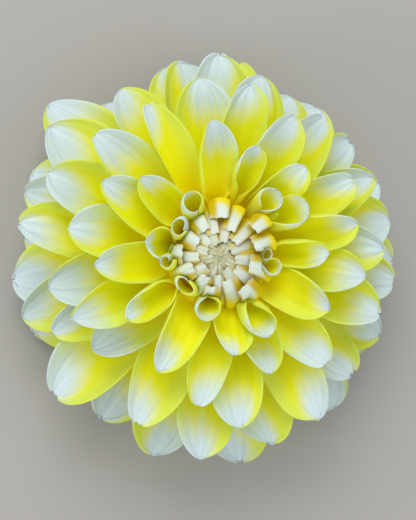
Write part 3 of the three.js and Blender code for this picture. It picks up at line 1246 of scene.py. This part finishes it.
RECEPTACLE = Turned("receptacle", "petal", (
    (0.0, 0.0180), (0.0096, 0.0180), (0.0118, 0.0186), (0.0126, 0.0205), (0.0120, 0.0240),
    (0.0104, 0.0275), (0.0078, 0.0295), (0.0, 0.0300)), ribs=21, rib_depth=0.0004)
DOME_CORE = Turned("dome_core", "closed_petal", (
    (0.0, 0.0290), (0.0080, 0.0290), (0.0110, 0.0320), (0.0138, 0.0362), (0.0146, 0.0395),
    (0.0142, 0.0425), (0.0128, 0.0450), (0.0106, 0.0468), (0.0076, 0.0480), (0.0, 0.0484)))
STALK = Turned("stalk", "stalk", (
    (0.0, 0.0022), (0.0014, 0.0020), (0.0022, 0.0009), (0.0031, 0.0008), (0.0035, 0.0011),
    (0.0036, 0.0020), (0.0035, 0.0060), (0.0036, 0.0090), (0.0042, 0.0116), (0.0058, 0.0134),
    (0.0060, 0.0137), (0.0, 0.0137)), ribs=9, rib_depth=0.00025)


# ---------------------------------------------------------------- finishes
def new_material(name: str) -> tuple[Graph, bpy.types.Node, bpy.types.Material]:
    """A material with an empty Principled shader on its output."""
    material = bpy.data.materials.new(name)
    material.use_nodes = True
    material.node_tree.nodes.clear()
    graph = Graph(material.node_tree)
    shader = graph.node("ShaderNodeBsdfPrincipled")
    graph.node("ShaderNodeOutputMaterial", None, {"Surface": Wire(graph, shader.outputs[0])})
    return graph, shader, material


@dataclass(frozen=True)
class Skin:
    """How a living surface takes the light: its sheen, its depth in metres, its relief and the strength of
    its painted glow.
    """

    roughness: float
    subsurface: float
    depth: float
    radius: tuple[float, float, float]
    relief: float = 0.3
    relief_height: float = 0.0003
    specular: float = 0.5
    shine_through: float = 0.0

    def dress(self, graph: Graph, shader: bpy.types.Node, colour: Wire, height: Wire,
              glow: Wire | None = None) -> None:
        """Feeds a shader.

        Args:
            graph: The material's graph.
            shader: Its shader.
            colour: The colour of the surface.
            height: What the relief rises and falls with.
            glow: The colour of a painted glow, emission that stands in for the light that comes through
                from behind, if any does.
        """
        bump = graph.wire("ShaderNodeBump", None, {
            "Strength": self.relief, "Distance": self.relief_height, "Height": height})
        graph.feed(shader, {
            "Base Color": colour, "Roughness": self.roughness, "Specular IOR Level": self.specular,
            "Normal": bump, "Subsurface Weight": self.subsurface, "Subsurface Scale": self.depth,
            "Subsurface Radius": self.radius})
        # Painted glow: emission that lights the surface as if light came through it into its shaded depths.
        if glow is not None:
            graph.feed(shader, {"Emission Color": glow, "Emission Strength": self.shine_through})


class Streak(Enum):
    """Streaks of noise along a blade: how many along it and over half its width, and their detail."""

    COARSE = (2.0, 6.0, 3.0)
    FINE = (2.5, 34.0, 2.0)
    STRAP = (2.0, 7.0, 3.0)
    STRAP_FINE = (2.0, 20.0, 3.0)


@dataclass(frozen=True)
class BladePlace:
    """Where on its blade a shaded point lies, and what its blade is like."""

    graph: Graph
    along: Wire
    across: Wire

    # How far apart the streaks of different blades lie in the noise.
    APART = 37.0

    @staticmethod
    def read(graph: Graph) -> "BladePlace":
        """Reads the place from the blade's own UV map and attributes."""
        flat = graph.wire("ShaderNodeUVMap", {"uv_map": "petal_uv"})
        parts = graph.node("ShaderNodeSeparateXYZ", None, {0: flat}).outputs
        return BladePlace(graph, Wire(graph, parts[0]), Wire(graph, parts[1]) * 2.0 - 1.0)

    def value(self, name: str) -> Wire:
        """A blade's own value by its name."""
        return self.graph.wire("ShaderNodeAttribute", {"attribute_name": name}, output="Fac")

    def streaks(self, kind: Streak) -> Wire:
        """Noise drawn out along the blade, 0 to 1 about a half."""
        along, across, detail = kind.value
        apart = self.value("chance") * self.APART
        place = self.graph.vector(self.along * along, self.across * across, apart)
        return self.graph.noise(place, 1.0, detail)


@dataclass(frozen=True)
class PetalFinish:
    """An open floret: deep yellow at the heart, paler on the wings, white over the end.

    Places run from 0 at the root to 1 along a blade, and from 0 on its rib to 1 at a margin. What
    ends in _share is how strong something is, and what ends in _drawn moves the white's edge.
    """

    heart: Colour = linear(240, 222, 0)
    body: Colour = linear(243, 240, 0)
    wing: Colour = linear(218, 238, 98)
    white: Colour = linear(214, 233, 236)
    # Darker marks: the petal's own veins and streaks, and painted shade along the creases.
    vein: Colour = linear(176, 190, 198)
    # Painted glow: the golden emission that lights the shaded depths of the heart.
    glow: Colour = linear(255, 226, 0)
    young_ages: tuple[float, float] = (0.04, 0.13)
    heart_along: tuple[float, float] = (0.3, 0.7)
    wing_along: tuple[float, float] = (0.3, 0.8)
    wing_across: tuple[float, float] = (0.3, 0.9)
    wing_share: float = 0.8
    ragged: float = 0.09
    side_across: tuple[float, float] = (0.0, 0.7)
    margin_across: tuple[float, float] = (0.5, 1.0)
    yellow_side_drawn: float = 0.22
    young_margin_drawn: float = 0.16
    old_margin_drawn: float = -0.02
    white_softness: tuple[float, float] = (-0.17, 0.06)
    # Painted shade along the creases: where it lies off the rib, how narrow and how dark it is.
    crease_across: float = 0.47
    crease_narrowness: float = 700.0
    crease_share: float = 0.35
    fine_dark: tuple[float, float] = (0.5, 0.72)
    fine_share: float = 0.12
    coarse_dark: tuple[float, float] = (0.45, 0.75)
    coarse_share: float = 0.25
    # Where the painted glow fades out along the blade; on young florets it reaches further.
    shade_along: tuple[float, float] = (0.35, 0.75)
    young_glow: float = 0.85
    skin: Skin = Skin(0.5, 0.3, 0.0015, (1.0, 0.9, 0.35), specular=0.2, shine_through=0.075)

    def material(self) -> bpy.types.Material:
        """Makes the finish."""
        graph, shader, material = new_material("petal")
        place = BladePlace.read(graph)
        along, off_rib = place.along, abs(place.across)
        young = 1.0 - place.value("age").ramp(*self.young_ages)
        coarse, fine = place.streaks(Streak.COARSE), place.streaks(Streak.FINE)
        yellow = graph.mix(along.ramp(*self.heart_along), self.heart, self.body)
        wing = off_rib.ramp(*self.wing_across) * along.ramp(*self.wing_along) * self.wing_share
        yellow = graph.mix(wing, yellow, self.wing)
        side = (place.across * place.value("yellow_side")).ramp(*self.side_across)
        margin = young * self.young_margin_drawn + self.old_margin_drawn
        edge = (along + (coarse - 0.5) * self.ragged - side * self.yellow_side_drawn
                + off_rib.ramp(*self.margin_across) * margin)
        white_from = place.value("white_from")
        low, high = self.white_softness
        whiteness = edge.ramp(white_from + low, white_from + high)
        colour = graph.mix(whiteness, yellow, self.white)
        # Painted shade: the white darkens along a crease line on each side of the rib.
        off_crease = off_rib - self.crease_across
        crease = (off_crease * off_crease * -self.crease_narrowness).math("EXPONENT")
        dark = (fine.ramp(*self.fine_dark) * self.fine_share
                + coarse.ramp(*self.coarse_dark) * self.coarse_share
                + crease * self.crease_share) * whiteness
        # Painted glow over the heart, reaching further out on the young florets; none over the white ends.
        shade = (along.ramp(*self.shade_along) * (1.0 - young * self.young_glow)).at_least(whiteness)
        self.skin.dress(graph, shader, graph.mix(dark, colour, self.vein), fine * 0.5 + coarse,
                        graph.mix(shade, self.glow, BLACK))
        return material


@dataclass(frozen=True)
class ClosedPetalFinish:
    """The back of an unopened floret: cream, with a golden flank that is partly painted shade, a yellow
    foot under a painted glow, and painted shade in its slits and towards the eye.

    Places run from 0 at the root to 1 along a strap, and from -1 to 1 across it. What ends in _share
    is how strong something is.
    """

    cream: Colour = linear(221, 231, 220)
    dusk: Colour = linear(197, 194, 152)
    # Gold: partly the strap's own yellow and partly painted shade on the flanks; also the colour of the
    # painted glow at the foot.
    gold: Colour = linear(206, 180, 2)
    foot: Colour = linear(240, 222, 20)
    # Painted shade: the dark brown of the slits between the straps.
    slit: Colour = linear(128, 92, 14)
    dusk_ages: tuple[float, float] = (0.2, 0.9)
    foot_along: tuple[float, float] = (0.42, 0.74)
    foot_ragged: float = 0.3
    foot_drawn: float = 0.16
    flank_across: tuple[float, float] = (-0.05, 0.4)
    flank_ragged: float = 0.2
    far_margin: tuple[float, float] = (0.65, 1.0)
    far_margin_share: float = 0.8
    tip_along: tuple[float, float] = (0.86, 1.0)
    tip_share: float = 0.35
    inner_ages: tuple[float, float] = (0.3, 0.8)
    inner_share: float = 0.5
    slit_across: tuple[float, float] = (0.84, 1.0)
    slit_along: tuple[float, float] = (0.86, 0.96)
    slit_share: float = 0.6
    # Where the painted glow at the strap's foot fades out.
    shade_along: tuple[float, float] = (0.4, 0.75)
    skin: Skin = Skin(0.5, 0.15, 0.001, (1.0, 0.85, 0.4), relief=0.4, specular=0.35,
                      shine_through=0.14)

    def material(self) -> bpy.types.Material:
        """Makes the finish."""
        graph, shader, material = new_material("closed_petal")
        place = BladePlace.read(graph)
        along, across, age = place.along, place.across, place.value("age")
        ragged = place.streaks(Streak.STRAP) - 0.5
        # Painted shade: the straps darken towards the eye.
        colour = graph.mix(age.ramp(*self.dusk_ages), self.cream, self.dusk)
        foot = along + ragged * self.foot_ragged - abs(across) * self.foot_drawn
        colour = graph.mix(1.0 - foot.ramp(*self.foot_along), colour, self.foot)
        # The flank's gold, partly the strap's own yellow and partly painted shade, on one flank and the far
        # margin.
        flank = ((across + ragged * self.flank_ragged).ramp(*self.flank_across)
                 + (-across).ramp(*self.far_margin) * self.far_margin_share)
        reach = (1.0 - along.ramp(*self.tip_along) * self.tip_share
                 - age.ramp(*self.inner_ages) * self.inner_share)
        colour = graph.mix(flank.clipped() * reach, colour, self.gold)
        # Painted shade: dark slits along both margins, short of the tip.
        slit = abs(across).ramp(*self.slit_across) * (1.0 - along.ramp(*self.slit_along))
        # Painted glow: golden emission at the strap's foot lights the shaded depths of the head.
        self.skin.dress(graph, shader, graph.mix(slit * self.slit_share, colour, self.slit),
                        place.streaks(Streak.STRAP_FINE),
                        graph.mix(along.ramp(*self.shade_along), self.gold, BLACK))
        return material


@dataclass(frozen=True)
class GrainFinish:
    """A plain part: two tones in a grain over its surface, so many grains to the metre."""

    name: str
    shade: Colour
    light: Colour
    roughness: float
    grain: float
    subsurface: float
    fineness: float = 6.0
    radius: tuple[float, float, float] = (0.6, 1.0, 0.3)

    def material(self) -> bpy.types.Material:
        """Makes the finish."""
        graph, shader, material = new_material(self.name)
        spot = graph.wire("ShaderNodeTexCoord", output="Object")
        mottle = graph.noise(spot, self.grain, 4.0).ramp(0.3, 0.7)
        skin = Skin(self.roughness, self.subsurface, 0.002, self.radius, relief_height=0.0002)
        skin.dress(graph, shader, graph.mix(mottle, self.shade, self.light),
                   graph.noise(spot, self.grain * self.fineness, 2.0))
        return material


PALE_BRACT = GrainFinish("pale_bract", linear(168, 176, 96), linear(206, 208, 142), 0.55, 320.0, 0.2)
GREEN_BRACT = GrainFinish("green_bract", linear(84, 118, 44), linear(120, 150, 66), 0.5, 280.0, 0.1)
STALK_SKIN = GrainFinish("stalk_skin", linear(92, 122, 50), linear(136, 152, 78), 0.55, 240.0, 0.1)
HEART_FLESH = GrainFinish("heart_flesh", linear(216, 176, 8), linear(230, 196, 20), 0.6, 260.0, 0.1)
DOME_SHADE = GrainFinish("dome_shade", linear(190, 150, 14), linear(214, 178, 24), 0.7, 400.0, 0.0)


@dataclass(frozen=True)
class FloorFinish:
    """A plain pale floor with a trace of unevenness."""

    tone: Colour = linear(176, 172, 168)
    clouds: float = 6.0
    unevenness: float = 0.06
    roughness: float = 0.8

    def material(self) -> bpy.types.Material:
        """Makes the finish."""
        graph, shader, material = new_material("pale_floor")
        spot = graph.wire("ShaderNodeTexCoord", output="Object")
        cloud = graph.noise(spot, self.clouds, 2.0).ramp(0.2, 0.8)
        tone = graph.mix(cloud * self.unevenness, self.tone, GREY)
        graph.feed(shader, {"Base Color": tone, "Roughness": self.roughness})
        return material


# ---------------------------------------------------------------- studio
class Lamp(Enum):
    """The studio's area lights: place, power in watts and size in metres."""

    KEY = ((-0.2, 0.75, 0.85), 6.5, 0.7)
    FILL = ((0.7, -0.5, 0.8), 2.0, 0.9)
    BACK = ((-0.8, -0.4, 0.5), 2.3, 0.6)


@dataclass(frozen=True)
class Studio:
    """The floor, the light and the camera that looks down on the bloom."""

    viewpoint: Viewpoint = Viewpoint()
    world_strength: float = 0.62
    floor_reach: float = 3.0

    def build(self, axis: Vector) -> None:
        """Sets up the floor, the lights, the world and the camera round the flower's axis."""
        target = Vector((axis.x, axis.y, self.viewpoint.look_height))
        self._floor()
        for lamp in Lamp:
            place, watts, size = lamp.value
            self._lamp(lamp.name.lower(), target, Vector(place), watts, size)
        self._world()
        self._camera(target)
        bpy.context.scene.view_settings.view_transform = "Standard"

    def _floor(self) -> None:
        """A floor that runs out of every view."""
        mesh = bpy.data.meshes.new("floor")
        corners = [(-1, -1), (1, -1), (1, 1), (-1, 1)]
        mesh.from_pydata([(x * self.floor_reach, y * self.floor_reach, 0) for x, y in corners],
                         [], [(0, 1, 2, 3)])
        mesh.materials.append(FloorFinish().material())
        floor = place_object("floor", mesh)

    def _aim(self, thing: bpy.types.Object, place: Vector, target: Vector) -> None:
        """Puts a lamp or camera in place, looking at the target with +Y upwards."""
        back = (place - target).normalized()
        right, up = facing_axes(back)
        thing.matrix_world = Matrix.Translation(place) @ Matrix((right, up, back)).transposed().to_4x4()

    def _lamp(self, name: str, target: Vector, place: Vector, watts: float, size: float) -> None:
        """An area light aimed at the bloom."""
        light = bpy.data.lights.new(name, "AREA")
        light.energy = watts
        light.size = size
        self._aim(place_object(name, light), place, target)

    def _world(self) -> None:
        """An even pale sky."""
        world = bpy.data.worlds.new("studio")
        world.use_nodes = True
        world.node_tree.nodes.clear()
        graph = Graph(world.node_tree)
        sky = graph.wire("ShaderNodeBackground", None,
                         {"Color": linear(238, 242, 244), "Strength": self.world_strength})
        graph.node("ShaderNodeOutputWorld", None, {"Surface": sky})
        bpy.context.scene.world = world

    def _camera(self, target: Vector) -> None:
        """Sets up the camera at the viewpoint.

        Args:
            target: What it looks at; its frame is shifted so that this shows at the axis pixel.
        """
        data = bpy.data.cameras.new("camera")
        view = self.viewpoint
        data.lens = view.lens
        data.sensor_fit = "VERTICAL"
        data.sensor_height = view.sensor
        width, height = view.image
        data.shift_x = -(view.axis_pixel[0] - width / 2) / height
        data.shift_y = (view.axis_pixel[1] - height / 2) / height
        camera = place_object("camera", data)
        self._aim(camera, target + view.towards() * view.distance, target)
        bpy.context.scene.camera = camera


def main() -> None:
    """Builds the bloom and its studio."""
    logging.basicConfig(level=logging.INFO, format="%(message)s")
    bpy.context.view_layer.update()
    low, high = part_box("stem")
    axis = Vector(((low.x + high.x) / 2, (low.y + high.y) / 2, 0.0))
    tree = BladeTree()
    Studio().build(axis)
    crowd = RayFlorets().build(tree, axis, PetalFinish().material())
    head = ClosedFlorets()
    head.build(tree, axis, ClosedPetalFinish().material(), crowd)
    INNER_BRACTS.build(tree, axis, PALE_BRACT.material())
    OUTER_BRACTS.build(tree, axis, GREEN_BRACT.material())
    RECEPTACLE.build(axis, HEART_FLESH.material())
    DOME_CORE.build(axis, DOME_SHADE.material(), turn=head.nod(axis))
    STALK.build(axis, STALK_SKIN.material(), "stem")


if __name__ == "__main__":
    main()
